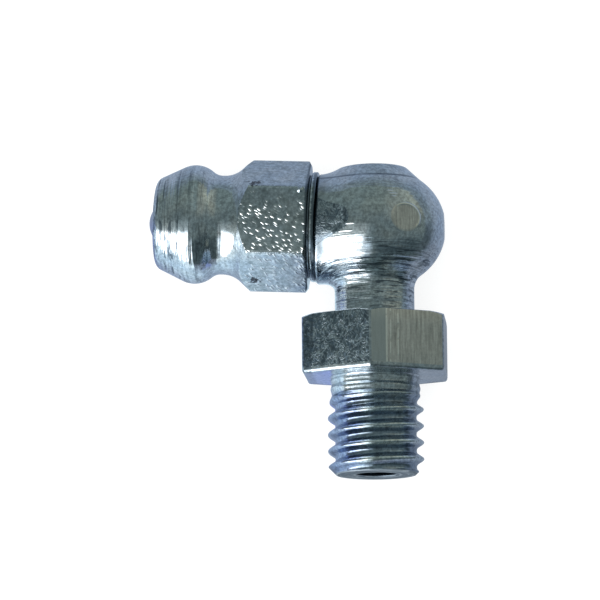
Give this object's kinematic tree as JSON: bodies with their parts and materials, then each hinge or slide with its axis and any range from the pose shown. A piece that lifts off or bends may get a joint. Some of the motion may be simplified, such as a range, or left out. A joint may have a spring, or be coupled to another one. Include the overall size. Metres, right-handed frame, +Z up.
{
  "type": "angled grease nipple",
  "caption": "Right-angle grease nipple: hexagon-bar elbow with a ball, a threaded shank and a pressed-in coupler head with a spring-loaded check ball.",
  "frame": {"origin": "centre of the bottom of the bounding box, on the bench that the fitting lies on", "axes": "+Z up from the bench, -Y about along the threaded shank, -X about along the coupler head; the fitting lies on its ball, one corner of its hexagon and the crest of its head"},
  "size_m": [0.018, 0.0194, 0.01],
  "materials": {
    "zinc_plated_steel": "bright zinc plate over turned and milled steel, fine tool rings",
    "ball_steel": "polished hardened bearing steel",
    "spring_wire": "drawn spring steel wire"
  },
  "bodies": {
    "fitting": {"elbow_body": "zinc_plated_steel", "nipple_head": "zinc_plated_steel", "check_spring": "spring_wire"},
    "valve_ball": {"check_ball": "ball_steel"}
  },
  "joints": [
    {"name": "check_ball_slide", "type": "slide", "parent": "fitting", "child": "valve_ball", "axis": [0.9966, -0.0435, 0.0693], "range_m": [0, 0.0008], "stiffness_N_per_m": 1200, "springref_m": -0.001, "deforming": ["check_spring"]}
  ]
}
